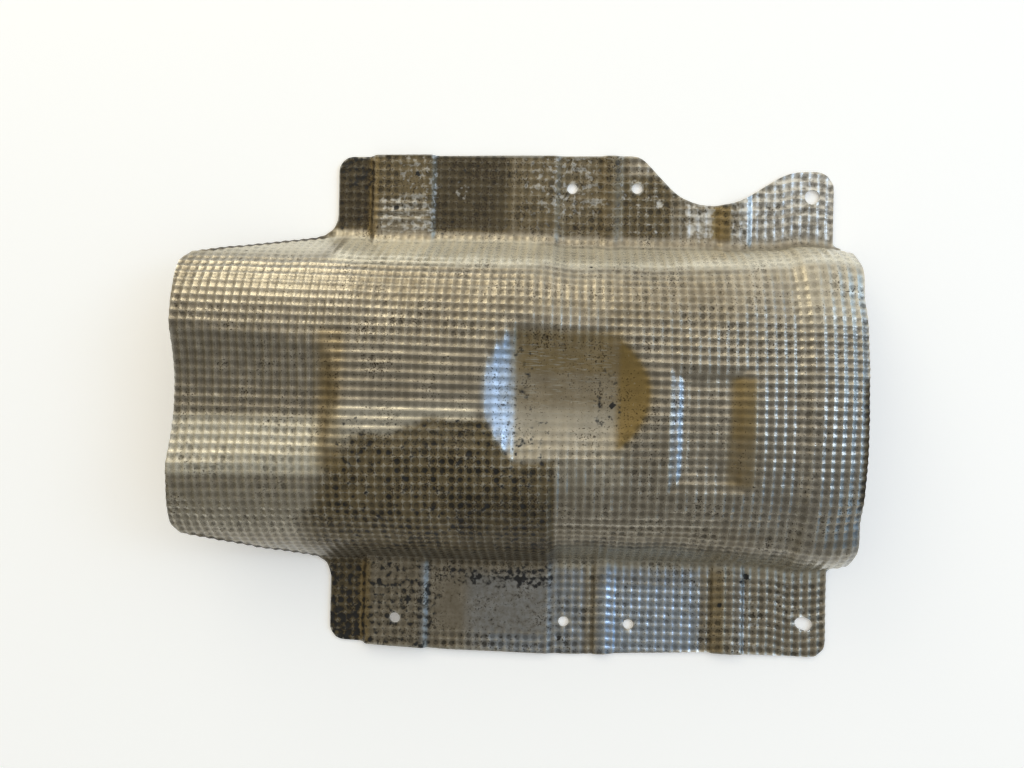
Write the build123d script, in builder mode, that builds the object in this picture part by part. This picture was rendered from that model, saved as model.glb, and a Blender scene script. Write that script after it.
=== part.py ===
from build123d import *

import os
from math import asin, cos, pi, radians, sin, sqrt, tan

# Exhaust heat shield: one sheet of aluminium pressed into a low tunnel along X, with a bolting flange
# along each side. It lies on its flanges, hollow side down. Millimetres, +Z up, origin on the floor
# under the middle of its box.

# Sheet and overall size
sheet = 1.0
length = 427.0
width = 333.0
height = 61.0

# Tunnel section: flat crown arc, shoulder arcs, straight flanks, root radii
tunnel_y = 1.5
crown_radius = 257.0
shoulder_radius = 62.0
flank_angle = 62.0
root_radius = 8.0
root_bite = 0.3
foot_left = 111.2
foot_right = 104.8

# Cross step over the tunnel and both flanges, and the raised lip round the right end
step_x = 30.0
step_run = 9.0
step_depth = 2.2
lip_from_end = 30.0
lip_rise_run = 9.0
lip_crest = 6.0
lip_fall = 3.0

# Dish pressed into the crown
dish_x = 39.0
dish_y = 8.0
dish_floor = 64.0
dish_depth = 9.8
dish_radius = 147.0
dish_wall_angle = 27.0

# Trough that runs out of the left end
trough_y = 3.5
trough_length = 103.0
trough_depth = 6.0
trough_radius = 150.0
trough_slope = 2.6
trough_wall_angle = 31.0

# Shallow rectangular panel that follows the crown
panel_x = 122.5
panel_y = -14.5
panel_size_x = 48.0
panel_size_y = 85.0
panel_depth = 3.5
panel_wall_run = 10.0

# Radii of the pressings, measured on the upper face: floor edges, and the rims of dish and trough
floor_radius = 5.0
rim_radius = 4.0

# Flange levels along X: bolting pads, and two stiffening ribs beyond the step
pad_x = -74.5
pad_size_x = 36.0
pad_rise = 5.2
pad_ramp = 7.0
rib_x = (65.0, 146.0)
rib_width = (16.0, 24.0)
rib_rise = (2.0, 2.5)
rib_ramp = 6.0

# Plan outline
flange_start = 93.0
flange_end = 4.5
flange_corner = 10.0
flange_lift = 3.0
flange_full = -40.0
free_edge_top = (111.2, 93.8)
free_edge_bottom = (109.5, 88.0)
free_edge_fillet = 18.0
end_bow = 5.0
end_corner = 9.0
taper_from = 45.0
taper_to = 128.0
taper_depth = 5.5
ear_inset = 10.5
ear_corner = 12.0
waist_from_end = 68.1
waist_length = 31.0
waist_depth = 32.8
waist_radius = 37.0
waist_run_left = 30.5
waist_run_right = 35.4
brow_radius = 15.0
end_relief = 3.0
relief_corner = 2.0

# Holes
bolt_hole = 7.0
bolt_x = 60.5
bolt_spacing_x = 43.0
bolt_spacing_y = 290.0
pad_hole_from_edge = 20.5
ear_hole = 9.5
ear_hole_from_edge = 27.0
ear_hole_from_end = 18.0
slot_width = 8.5
slot_length = 11.5
slot_tilt = -22.0

# Room that the forming solids have beyond the sheet, strips in one ramp, points on one arc
margin = 20.0
step_strips = 2
ramp_strips = 3
crown_points = 3
shoulder_points = 4

# Places worked out from the sizes above
end = length / 2
edge = width / 2
step_start = step_x - step_run / 2
lip_start = end - lip_from_end - lip_rise_run
fall_start = end - lip_from_end + lip_crest
fall_run = end - fall_start
pad_left = pad_x - pad_size_x / 2
pad_right = pad_x + pad_size_x / 2
shelf_ramp = pad_ramp * (pad_rise - step_depth) / pad_rise

# Ramps along X, each with its start, its run and its number of flat strips
tunnel_ramps = [
    (step_start, step_run, step_strips),
    (lip_start, lip_rise_run, ramp_strips),
    (fall_start, fall_run, ramp_strips),
]
flange_ramps = tunnel_ramps + [
    (pad_left - pad_ramp, pad_ramp, ramp_strips),
    (pad_right, shelf_ramp, ramp_strips),
]
for middle, whole in zip(rib_x, rib_width):
    flange_ramps.append((middle - whole / 2, rib_ramp, ramp_strips))
    flange_ramps.append((middle + whole / 2 - rib_ramp, rib_ramp, ramp_strips))


def eased(x, start, run):
    """Half a cosine wave from 0 at start to 1 at the end of the run."""
    share = min(max((x - start) / run, 0.0), 1.0)
    return (1 - cos(pi * share)) / 2


def tunnel_drop(x):
    """How far the tunnel lies below its left part: the cross step, the lip and the fall to the end."""
    step = eased(x, step_start, step_run) - eased(x, lip_start, lip_rise_run)
    fall = max((x - fall_start) / fall_run, 0.0)
    return step_depth * step + lip_fall * fall**2


def flange_rise(x):
    """How far the flanges stand above the floor: pads, shelf as high as the cross step, ribs."""
    rise = pad_rise * eased(x, pad_left - pad_ramp, pad_ramp)
    rise -= (pad_rise - step_depth) * eased(x, pad_right, shelf_ramp)
    rise -= step_depth * eased(x, step_start, step_run)
    for middle, whole, top in zip(rib_x, rib_width, rib_rise):
        rise += top * eased(x, middle - whole / 2, rib_ramp)
        rise -= top * eased(x, middle + whole / 2 - rib_ramp, rib_ramp)
    return rise


def stations(ramps, inset):
    """Places along X where a section is drawn: both ends, and the ends and strips of each ramp."""
    places = [-end - margin - inset, end + margin + inset]
    for start, run, strips in ramps:
        places += [start + run * strip / strips for strip in range(strips + 1)]
    places.sort()
    return [x for x, after in zip(places, places[1:] + [None]) if after is None or after - x > sheet / 2]


def foot(x):
    """Half width of the tunnel at its flanges: it narrows evenly from left to right."""
    return foot_left + (foot_right - foot_left) * (x + end) / length


def arc_middle(centre, radius, first, last):
    """Point half way round an arc between two directions seen from its centre."""
    return centre + (first + last).normalized() * radius


def far_side(point):
    """The same point on the other flank."""
    return Vector(-point.X, point.Y)


def cross_plane(x):
    """Plane across the tunnel at x, on its middle line."""
    return Plane((x, tunnel_y, 0), x_dir=(0, 1, 0), z_dir=(1, 0, 0))


# Directions square to a flank and up along it, in a section
flank_slope = radians(flank_angle)
outward = Vector(sin(flank_slope), cos(flank_slope))
upward = Vector(-cos(flank_slope), sin(flank_slope))


def tunnel_section(x, inset):
    """Closed section of the tunnel at x, with its face inset: one smooth curve from flank to flank.

    The curve follows a crown arc and two shoulder arcs that are tangent to it and to the flanks.
    """
    skin = tunnel_drop(x) + inset
    heel = Vector(foot(x), sheet)
    crown_centre = Vector(0, height - crown_radius)
    lean = heel - outward * shoulder_radius - crown_centre
    along = lean.dot(upward)
    climb = sqrt(along**2 - lean.dot(lean) + (crown_radius - shoulder_radius) ** 2) - along
    shoulder_centre = crown_centre + lean + upward * climb
    crown_lean = asin((shoulder_centre.X - crown_centre.X) / (crown_radius - shoulder_radius))
    arch = []
    for share in range(crown_points):
        turn = crown_lean * share / crown_points
        arch.append(crown_centre + Vector(sin(turn), cos(turn)) * (crown_radius - skin))
    for share in range(shoulder_points + 1):
        turn = crown_lean + (flank_slope - crown_lean) * share / shoulder_points
        arch.append(shoulder_centre + Vector(sin(turn), cos(turn)) * (shoulder_radius - skin))
    flank_foot = heel - outward * skin - upward * margin
    with BuildSketch(cross_plane(x)) as outline:
        with BuildLine():
            left = [far_side(point) for point in arch[:0:-1]]
            Spline(*left, *arch, tangents=(far_side(upward), -upward), tangent_scalars=(1, 1))
            Polyline(arch[-1], flank_foot, far_side(flank_foot), left[0])
        make_face()
    return outline.sketch


def flange_section(x, inset):
    """Closed section of the flanges at x, with a root radius that runs just into each flank."""
    flange_z = sheet + flange_rise(x) - inset
    bend = root_radius + inset
    flank = Vector(foot(x), sheet) - outward * (tunnel_drop(x) + inset)
    centre_z = flange_z + bend
    centre_y = flank.X + (bend - root_bite - (centre_z - flank.Y) * outward.Y) / outward.X
    centre = Vector(centre_y, centre_z)
    bend_top = centre - outward * bend
    bend_mid = arc_middle(centre, bend, outward * -1, Vector(0, -1))
    bend_end = Vector(centre_y, flange_z)
    reach = edge + margin + inset
    below = -margin - inset
    with BuildSketch(cross_plane(x)) as outline:
        with BuildLine():
            for side in (Vector, far_side):
                ThreePointArc(side(bend_top), side(bend_mid), side(bend_end))
                Polyline(side(bend_end), side(Vector(reach, flange_z)), side(Vector(reach, below)))
            Line(far_side(bend_top), bend_top)
            Line((-reach, below), (reach, below))
        make_face()
    return outline.sketch


def drum(x, y, axis_z, points, rounded, grow):
    """Punch turned about an axis along X: some profile corners are rounded, then it is grown all round."""
    with BuildPart() as punch:
        with BuildSketch(Plane((x, y, axis_z), x_dir=(1, 0, 0), z_dir=(0, -1, 0))) as face:
            with BuildLine():
                Polyline(*points, close=True)
            make_face()
            for corner in rounded:
                fillet(face.vertices().sort_by_distance(corner)[0], floor_radius)
            offset(amount=grow, kind=Kind.INTERSECTION)
        revolve(axis=Axis((x, y, axis_z), (1, 0, 0)))
    return punch.part


def dish_punch(grow):
    """Concave drum across the tunnel, with sloping end walls: its right floor edge is crisp."""
    half = dish_floor / 2
    climb = dish_depth + margin
    run = climb / tan(radians(dish_wall_angle))
    low = -dish_radius
    left_edge = (-half, low)
    points = [(-half - run, low + climb), left_edge, (half, low), (half + run, low + climb)]
    axis_z = height - dish_depth + dish_radius
    return drum(dish_x, dish_y, axis_z, points, [left_edge], grow)


def trough_punch(grow):
    """Slightly conical drum that runs out of the left end, with one sloping wall."""
    climb = trough_depth + margin
    run = climb / tan(radians(trough_wall_angle))
    outer = -trough_length - margin
    low = -trough_radius
    fall = outer * tan(radians(trough_slope))
    points = [(outer, low + climb), (outer, low + fall), (0, low), (run, low + climb)]
    axis_z = height - trough_depth + trough_radius
    return drum(trough_length - end, trough_y, axis_z, points, [(0, low)], grow)


def panel_punch(grow):
    """Drum about the crown's own axis, cut to a rectangle with sloping ends."""
    axis_z = height - crown_radius
    low = crown_radius - step_depth - panel_depth
    climb = panel_depth + margin
    spread = panel_wall_run * climb / panel_depth
    half_x = panel_size_x / 2 - panel_wall_run
    half_y = panel_size_y / 2 - panel_wall_run
    floor = [(-half_x, low), (half_x, low)]
    points = [*floor, (half_x + spread, low + climb), (-half_x - spread, low + climb)]
    turn = (panel_y - tunnel_y) / crown_radius
    across = Plane((panel_x, tunnel_y, axis_z), x_dir=(0, cos(turn), -sin(turn)), z_dir=(1, 0, 0))
    with BuildPart() as punch:
        add(drum(panel_x, tunnel_y, axis_z, points, floor, grow))
        with BuildSketch(across):
            with BuildLine():
                Polyline(
                    (-half_y, low - margin),
                    (half_y, low - margin),
                    (half_y, low),
                    (half_y + spread, low + climb),
                    (-half_y - spread, low + climb),
                    (-half_y, low),
                    close=True,
                )
            make_face()
            offset(amount=grow, kind=Kind.INTERSECTION)
        extrude(amount=length, both=True, mode=Mode.INTERSECT)
    return punch.part


def pressing_form(inset):
    """Solid whose top is the shield's face, inset from its upper face, with the deep rims rounded."""
    with BuildPart() as tunnel:
        loft(sections=[tunnel_section(x, inset) for x in stations(tunnel_ramps, inset)], ruled=True)
        for punch in (dish_punch, trough_punch):
            add(punch(inset), mode=Mode.SUBTRACT)
            fillet(tunnel.edges(Select.NEW), rim_radius - inset)
        add(panel_punch(inset), mode=Mode.SUBTRACT)
    with BuildPart() as form:
        loft(sections=[flange_section(x, inset) for x in stations(flange_ramps, inset)], ruled=True)
        add(tunnel.part)
    return form.part


def left_end():
    """Left end of the outline: round corners on both free edges, joined by a hollow arc."""
    start = flange_start - end
    centre_x = end_corner - end
    sides = []
    for side, (near, far) in ((1, free_edge_top), (-1, free_edge_bottom)):
        rise = (near - far) / flange_start
        normal = Vector(-rise, side).normalized()
        centre_y = far + rise * end_corner - end_corner * sqrt(1 + rise**2)
        sides.append((Vector(start, side * near), Vector(centre_x, side * centre_y), normal))
    (root, upper, upper_side), (other_root, lower, lower_side) = sides
    spread = (upper - lower).length / 2
    hollow = (spread**2 + end_bow**2) / (2 * end_bow) - end_corner
    middle = Vector(end_bow - end, (upper.Y + lower.Y) / 2)
    hollow_centre = middle - Vector(hollow, 0)
    shift = Vector(0, tunnel_y)
    ends = []
    for centre, side in ((upper, upper_side), (lower, lower_side)):
        inward = (hollow_centre - centre).normalized()
        first = centre + side * end_corner
        last = centre + inward * end_corner
        ends.append((first + shift, arc_middle(centre, end_corner, side, inward) + shift, last + shift))
    ThreePointArc(*ends[0])
    ThreePointArc(ends[0][2], middle + shift, ends[1][2])
    ThreePointArc(*ends[1][::-1])
    return ends[0][0], ends[1][0]


def plan_corners():
    """Corners of the rest of the outline, from the lower free edge round to the upper one."""
    start = flange_start - end
    stop = end - flange_end
    tunnel_end = foot(end)
    waist_right = end - waist_from_end
    waist_left = waist_right - waist_length
    return [
        ((start, tunnel_y - free_edge_bottom[0]), free_edge_fillet),
        ((start, flange_lift - edge), flange_corner),
        ((flange_full, -edge), waist_radius),
        ((taper_from, -edge), waist_radius),
        ((taper_to, taper_depth - edge), waist_radius),
        ((stop, taper_depth - edge), flange_corner),
        ((stop, tunnel_y - tunnel_end - end_relief), relief_corner),
        ((end, tunnel_y - tunnel_end + end_relief), relief_corner),
        ((end, tunnel_y + tunnel_end - end_relief), relief_corner),
        ((stop, tunnel_y + tunnel_end + end_relief), relief_corner),
        ((stop, edge - ear_inset), ear_corner),
        ((waist_right + waist_run_right, edge - ear_inset), waist_radius),
        ((waist_right, edge - waist_depth), waist_radius),
        ((waist_left, edge - waist_depth), waist_radius),
        ((waist_left - waist_run_left, edge), brow_radius),
        ((start, edge), flange_corner),
        ((start, tunnel_y + free_edge_top[0]), free_edge_fillet),
    ]


with BuildPart() as trim:
    with BuildSketch(Plane.XY.offset(-margin / 2)) as outline:
        with BuildLine():
            upper_end, lower_end = left_end()
            Polyline(lower_end, *[point for point, radius in plan_corners()], upper_end)
        make_face()
        for point, radius in plan_corners():
            fillet(outline.vertices().sort_by_distance(point)[0], radius)
    extrude(amount=height + margin)

with BuildPart() as heat_shield:
    add(pressing_form(0))
    add(pressing_form(sheet), mode=Mode.SUBTRACT)
    add(trim.part, mode=Mode.INTERSECT)
    with BuildSketch(Plane.XY.offset(-margin / 2)):
        with Locations((bolt_x, 0)):
            with GridLocations(bolt_spacing_x, bolt_spacing_y, 2, 2):
                Circle(bolt_hole / 2)
        with Locations((pad_x, pad_hole_from_edge - edge)):
            Circle(bolt_hole / 2)
        with Locations((end - ear_hole_from_end, edge - ear_hole_from_edge)):
            Circle(ear_hole / 2)
        with Locations((end - ear_hole_from_end, ear_hole_from_edge - edge)):
            SlotOverall(slot_length, slot_width, rotation=slot_tilt)
    extrude(amount=height, mode=Mode.SUBTRACT)

heat_shield.part.label = "heat_shield"

os.makedirs("parts", exist_ok=True)
export_step(heat_shield.part, "parts/heat_shield.step")
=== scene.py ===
"""Exhaust heat shield: the embossed aluminium sheet, the stage it lies on and the camera above it."""

from functools import partial
from math import atan2, cos, pi, radians, sin, sqrt, tan

import bpy
import numpy as np
from mathutils import Matrix, Vector


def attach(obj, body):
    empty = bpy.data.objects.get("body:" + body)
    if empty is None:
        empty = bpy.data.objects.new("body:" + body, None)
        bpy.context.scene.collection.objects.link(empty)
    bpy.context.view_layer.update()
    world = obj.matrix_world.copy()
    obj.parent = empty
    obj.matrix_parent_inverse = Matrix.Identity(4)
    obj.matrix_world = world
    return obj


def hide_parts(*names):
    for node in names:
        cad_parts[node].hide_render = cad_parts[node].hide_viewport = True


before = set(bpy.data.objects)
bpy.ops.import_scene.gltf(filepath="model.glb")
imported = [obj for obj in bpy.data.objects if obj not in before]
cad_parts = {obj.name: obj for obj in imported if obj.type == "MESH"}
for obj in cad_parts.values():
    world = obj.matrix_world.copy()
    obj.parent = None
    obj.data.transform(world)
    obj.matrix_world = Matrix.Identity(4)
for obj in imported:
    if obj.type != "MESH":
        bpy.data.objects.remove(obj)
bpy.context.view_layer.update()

bl_info = {
    "name": "Exhaust heat shield",
    "version": (1, 0, 0),
    "blender": (4, 5, 0),
    "location": "View3D > Sidebar > Heat shield",
    "description": "Embossed aluminium heat shield with its stage",
    "category": "Object",
}

MM = 0.001

# Sheet and overall size, in millimetres as all sizes of the sheet below
SHEET = 1.0
LENGTH = 427.0
WIDTH = 333.0
HEIGHT = 61.0
END = LENGTH / 2
EDGE = WIDTH / 2

# Tunnel section: its middle line, arcs, slope of the flanks, and half widths at the flanges
TUNNEL_Y = 1.5
CROWN_RADIUS = 257.0
SHOULDER_RADIUS = 62.0
FLANK = radians(62.0)
ROOT_RADIUS = 8.0
UPPER_ROOT_RADIUS = 14.0
FOOT_LEFT = 111.2
FOOT_RIGHT = 104.8

# Cross step, lip and falling end of the tunnel; ends across it are lengths along the section
STEP_START = 25.5
STEP_RUN = 9.0
STEP_DEPTH = 2.2
STEP_SPREAD = 31.0
STEP_SPREAD_ENDS = (-30.0, 70.0)
STEP_SPREAD_FADE = 45.0
LIP_START = 171.5
LIP_RUN = 15.0
FALL_START = 189.5
FALL_RUN = END - FALL_START
LIP_FALL = 3.0
LIP_FLARE = 6.0
FLARE_START = 85.0
FLARE_ENDS = (96.0, 112.0)
FLARE_FADE = 26.0

# Dish, trough and panel
DISH_X = 37.5
DISH_Y = 12.0
DISH_FLOOR = 61.0
DISH_DEPTH = 10.2
DISH_RADIUS = 147.0
DISH_WALL_LEFT = tan(radians(27.0))
DISH_WALL_RIGHT = tan(radians(20.0))
DISH_SOFT_RIGHT = 8.0
TROUGH_X = -110.5
TROUGH_Y = 3.5
TROUGH_DEPTH = 6.0
TROUGH_RADIUS = 150.0
TROUGH_SLOPE = tan(radians(2.6))
TROUGH_WALL = tan(radians(31.0))
PANEL_X = 122.5
PANEL_Y = -16.0
PANEL_SIZE_X = 48.0
PANEL_SIZE_Y = 85.0
PANEL_DEPTH = 3.0
PANEL_WALL_RUN = 12.0
PANEL_LOWER_RUN = 19.0
FLOOR_SOFTNESS = 3.0
RIM_SOFTNESS = 1.4
DISH_RIM_SOFTNESS = 2.6

# Flange levels: raised pads, shelf, and two ribs as (middle, width, height)
PAD_LEFT = -92.5
PAD_RIGHT = -56.5
PAD_RISE = 5.2
PAD_RAMP = 7.0
SHELF_RAMP = PAD_RAMP * (PAD_RISE - STEP_DEPTH) / PAD_RISE
RIBS = ((65.0, 16.0, 2.0), (146.0, 24.0, 2.5))
RIB_RAMP = 6.0

# Plan outline: flanges, slanted free edges as half widths at the flange and at the end, hollow left end
FLANGE_START = -120.5
FLANGE_STOP = 209.0
FREE_EDGE_TOP = (111.2, 93.8)
FREE_EDGE_BOTTOM = (109.5, 88.0)
FREE_EDGE_CORNER = 18.0
FLANGE_CORNER = 10.0
END_BOW = 5.0
END_CORNER = 9.0
END_NOTCH = 1.0

# Lower edge, which tapers in towards both ends, and upper edge with its waist and ear
LOWER_LEVEL = (-40.0, 45.0)
LOWER_TAPER_LEFT = 3.0
LOWER_TAPER_RIGHT = 5.5
LOWER_TAPER_STOP = 128.0
UPPER_STOP = 83.9
UPPER_CORNER = 15.0
WAIST = (114.4, 145.4)
WAIST_EDGE = 133.7
EAR_START = 180.8
EAR_EDGE = 156.0
EAR_CORNER = 12.0
LONG_BEND = 37.0

# Arcs of the outline: turn between two points, and points beyond that in a corner and in the left end
CORNER_STEP = radians(6.0)
CORNER_POINTS = 2
END_POINTS = 8

# Holes: place, half width, half length of a slot beyond its round ends, turn in degrees
HOLES = (
    (39.0, 145.0, 3.5, 0.0, 0.0),
    (82.0, 145.0, 3.5, 0.0, 0.0),
    (39.0, -145.0, 3.5, 0.0, 0.0),
    (82.0, -145.0, 3.5, 0.0, 0.0),
    (-74.5, -146.0, 3.5, 0.0, 0.0),
    (195.5, 139.5, 4.75, 0.0, 0.0),
    (195.5, -139.5, 4.25, 1.5, -22.0),
)
HOLE_SIDES = 48

# Embossing: pitch, height from pit to boss, lattice steps in one pitch and spare steps outside the sheet
EMBOSS_PITCH = 5.5
EMBOSS_HEIGHT = 1.0
STEPS_IN_PITCH = 4
SPARE_STEPS = 3


def hex_colour(text):
    """Linear red, green and blue of an sRGB hex colour."""
    parts = [int(text[i : i + 2], 16) / 255 for i in (0, 2, 4)]
    return tuple(c / 12.92 if c <= 0.04045 else ((c + 0.055) / 1.055) ** 2.4 for c in parts)


def eased(x, start, run):
    """Half a cosine wave from 0 at start to 1 at the end of the run."""
    share = np.clip((x - start) / run, 0, 1)
    return (1 - np.cos(pi * share)) / 2


def window(x, low, high, soft):
    """1 between low and high, falling to 0 over the soft width outside them."""
    return eased(x, low - soft, soft) * (1 - eased(x, high, soft))


def soft_ramp(x, width):
    """0 below zero and x above it, with the bend rounded over the width: (x + sqrt(x^2 + width^2)) / 2."""
    return (x + np.sqrt(x * x + width * width)) / 2


def soft_min(a, b, width):
    """The smaller of two heights, with the crossing rounded: min - (width - |a - b|)^2 / (4 width)."""
    near = np.clip(width - np.abs(a - b), 0, None)
    return np.minimum(a, b) - near * near / (4 * width)


def tunnel_drop(x, v):
    """How far the tunnel's face lies below its left part: a cosine step down, a cosine rise to the lip, and a
    fall to the end that grows with the square of the way. The step is longer beside the dish and on the
    upper shoulder."""
    spread = STEP_SPREAD * window(v, *STEP_SPREAD_ENDS, STEP_SPREAD_FADE)
    step = eased(x, STEP_START - spread / 2, STEP_RUN + spread) - eased(x, LIP_START, LIP_RUN)
    fall = np.clip((x - FALL_START) / FALL_RUN, 0, None)
    return STEP_DEPTH * step + LIP_FALL * fall * fall


def lip_flare(x, v):
    """How far the flanks swell outwards: a cosine rise towards the lipped end, on the flanks only."""
    return LIP_FLARE * eased(x, FLARE_START, END - FLARE_START) * window(np.abs(v), *FLARE_ENDS, FLARE_FADE)


def flange_rise(x):
    """Height of the flanges above the floor: pads, a shelf as high as the cross step, and ribs, all with
    cosine ramps."""
    rise = PAD_RISE * eased(x, PAD_LEFT - PAD_RAMP, PAD_RAMP)
    rise = rise - (PAD_RISE - STEP_DEPTH) * eased(x, PAD_RIGHT, SHELF_RAMP)
    rise = rise - STEP_DEPTH * eased(x, STEP_START, STEP_RUN)
    for middle, whole, top in RIBS:
        rise = rise + top * eased(x, middle - whole / 2, RIB_RAMP)
        rise = rise - top * eased(x, middle + whole / 2 - RIB_RAMP, RIB_RAMP)
    return rise


def foot(x):
    """Half width of the tunnel at its flanges: a straight line from the left end to the narrower right."""
    return FOOT_LEFT + (FOOT_RIGHT - FOOT_LEFT) * (x + END) / LENGTH


def panel_press(x, v):
    """Depth of the rectangular panel: a cosine ramp in from each of its sides, longest at the lower one."""
    share_x = (PANEL_SIZE_X / 2 - np.abs(x - PANEL_X)) / PANEL_WALL_RUN
    run = np.where(v < PANEL_Y, PANEL_LOWER_RUN, PANEL_WALL_RUN)
    share_v = (PANEL_SIZE_Y / 2 - np.abs(v - PANEL_Y)) / run
    return PANEL_DEPTH * eased(np.minimum(share_x, share_v), 0, 1)


def arch(x):
    """Shoulder arcs at x: the place of their centre, and the crown's half angle. The centre is on the line a
    shoulder radius inside the flank, where it is as far from the crown's centre as both radii differ."""
    lean_y = foot(x) - sin(FLANK) * SHOULDER_RADIUS
    lean_z = SHEET - cos(FLANK) * SHOULDER_RADIUS - HEIGHT + CROWN_RADIUS
    along = -lean_y * cos(FLANK) + lean_z * sin(FLANK)
    inner = CROWN_RADIUS - SHOULDER_RADIUS
    climb = np.sqrt(along**2 - lean_y**2 - lean_z**2 + inner**2) - along
    centre_y = lean_y - cos(FLANK) * climb
    centre_z = HEIGHT - CROWN_RADIUS + lean_z + sin(FLANK) * climb
    return centre_y, centre_z, np.arcsin(centre_y / inner)


def flank_length(x, drop, level, root_radius):
    """Straight length of a flank: the height from the end of its shoulder arc to the flange, over the sine of
    its slope, less what the root arc takes up, which is its radius times tan(half the slope)."""
    top_z = arch(x)[1] + cos(FLANK) * (SHOULDER_RADIUS - drop)
    return (top_z - level) / sin(FLANK) - root_radius * tan(FLANK / 2)


# Lengths along the middle section, from the crown's middle line to the start of each part
CROWN_PART = CROWN_RADIUS * float(arch(0.0)[2])
SHOULDER_PART = CROWN_PART + SHOULDER_RADIUS * (FLANK - float(arch(0.0)[2]))
FLANK_PART = SHOULDER_PART + float(flank_length(0.0, 0.0, SHEET, ROOT_RADIUS))
ROOT_PART = FLANK_PART + ROOT_RADIUS * FLANK


def section(x, v):
    """Place across the tunnel at x and at length v along the section: crown arc, shoulder arc, straight
    flank, root arc and level flange, each part stretched to the place where the next one starts. The upper
    root is wider than the lower one and takes its extra length from flank and flange."""
    w = np.abs(v)
    drop = tunnel_drop(x, v) + panel_press(x, v)
    level = SHEET + flange_rise(x)
    centre_y, centre_z, lean = arch(x)
    crown = lean * np.minimum(w / CROWN_PART, 1)
    shoulder = lean + (FLANK - lean) * np.clip((w - CROWN_PART) / (SHOULDER_PART - CROWN_PART), 0, 1)
    root_radius = np.where(v > 0, UPPER_ROOT_RADIUS, ROOT_RADIUS)
    wider = (root_radius - ROOT_RADIUS) * tan(FLANK / 2)
    flank_end = FLANK_PART - wider
    root_end = ROOT_PART + wider
    flank = np.clip((w - SHOULDER_PART) / (flank_end - SHOULDER_PART), 0, 1)
    root = FLANK * (1 - np.clip((w - flank_end) / (root_end - flank_end), 0, 1))
    run = flank * flank_length(x, drop, level, root_radius)
    bend_y = (sin(FLANK) - np.sin(root)) * root_radius
    bend_z = (cos(FLANK) - np.cos(root)) * root_radius
    on_crown = w < CROWN_PART
    radius = np.where(on_crown, CROWN_RADIUS, SHOULDER_RADIUS) - drop
    turn = np.where(on_crown, crown, shoulder)
    y = np.where(on_crown, 0, centre_y) + radius * np.sin(turn)
    z = np.where(on_crown, HEIGHT - CROWN_RADIUS, centre_z) + radius * np.cos(turn)
    y = y + run * cos(FLANK) + bend_y + np.clip(w - root_end, 0, None)
    z = z - run * sin(FLANK) + bend_z
    return TUNNEL_Y + np.sign(v) * y, z


def under_drum(z, across, wall, radius, depth, softness):
    """The lower of a height and a drum about an axis along X, whose radius shrinks by the wall's height:
    the drum's lowest line is at its depth below the crown, and across is the distance from that line."""
    reach = np.clip((radius - wall) ** 2 - across**2, 0, None)
    return soft_min(z, HEIGHT - depth + radius - np.sqrt(reach), softness)


def pressed(x, y, z):
    """Height after the dish and the trough, each a drum with sloping end walls that rise from a soft bend."""
    slope = np.where(x < DISH_X, DISH_WALL_LEFT, DISH_WALL_RIGHT)
    soft = np.where(x < DISH_X, FLOOR_SOFTNESS, DISH_SOFT_RIGHT)
    wall = soft_ramp(np.abs(x - DISH_X) - DISH_FLOOR / 2, soft) * slope
    z = under_drum(z, y - DISH_Y, wall, DISH_RADIUS, DISH_DEPTH, DISH_RIM_SOFTNESS)
    ahead = x - TROUGH_X
    wall = ahead * TROUGH_SLOPE + soft_ramp(ahead, FLOOR_SOFTNESS) * (TROUGH_WALL - TROUGH_SLOPE)
    return under_drum(z, y - TROUGH_Y, wall, TROUGH_RADIUS, TROUGH_DEPTH, RIM_SOFTNESS)


def arc_points(centre, radius, start, sweep, more):
    """Points along an arc from a start angle: one for each corner step of its sweep, and some more."""
    angle = start + np.linspace(0, sweep, int(abs(sweep) / CORNER_STEP) + more)
    return centre + radius * np.stack([np.cos(angle), np.sin(angle)], 1)


def rounded_loop(corners):
    """Closed outline through corners of (x, y, radius): each is cut back along both sides by
    radius / tan(half its angle) and replaced by an arc, or kept where its radius is 0."""
    points = np.array([corner[:2] for corner in corners])
    radii = np.array([corner[2] for corner in corners])
    before = np.roll(points, 1, 0) - points
    after = np.roll(points, -1, 0) - points
    before /= np.linalg.norm(before, axis=1, keepdims=True)
    after /= np.linalg.norm(after, axis=1, keepdims=True)
    loop = []
    for point, radius, back, ahead in zip(points, radii, before, after):
        if radius == 0:
            loop.append(point[None])
            continue
        half = np.arccos(np.clip(back @ ahead, -1, 1)) / 2
        bisector = (back + ahead) / np.linalg.norm(back + ahead)
        centre = point + bisector * radius / sin(half)
        first = point + back * radius / tan(half) - centre
        turn = np.arctan2(back[0] * ahead[1] - back[1] * ahead[0], back @ ahead)
        sweep = -np.sign(turn) * (pi - abs(turn))
        loop.append(arc_points(centre, radius, atan2(first[1], first[0]), sweep, CORNER_POINTS))
    return np.concatenate(loop)


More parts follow.
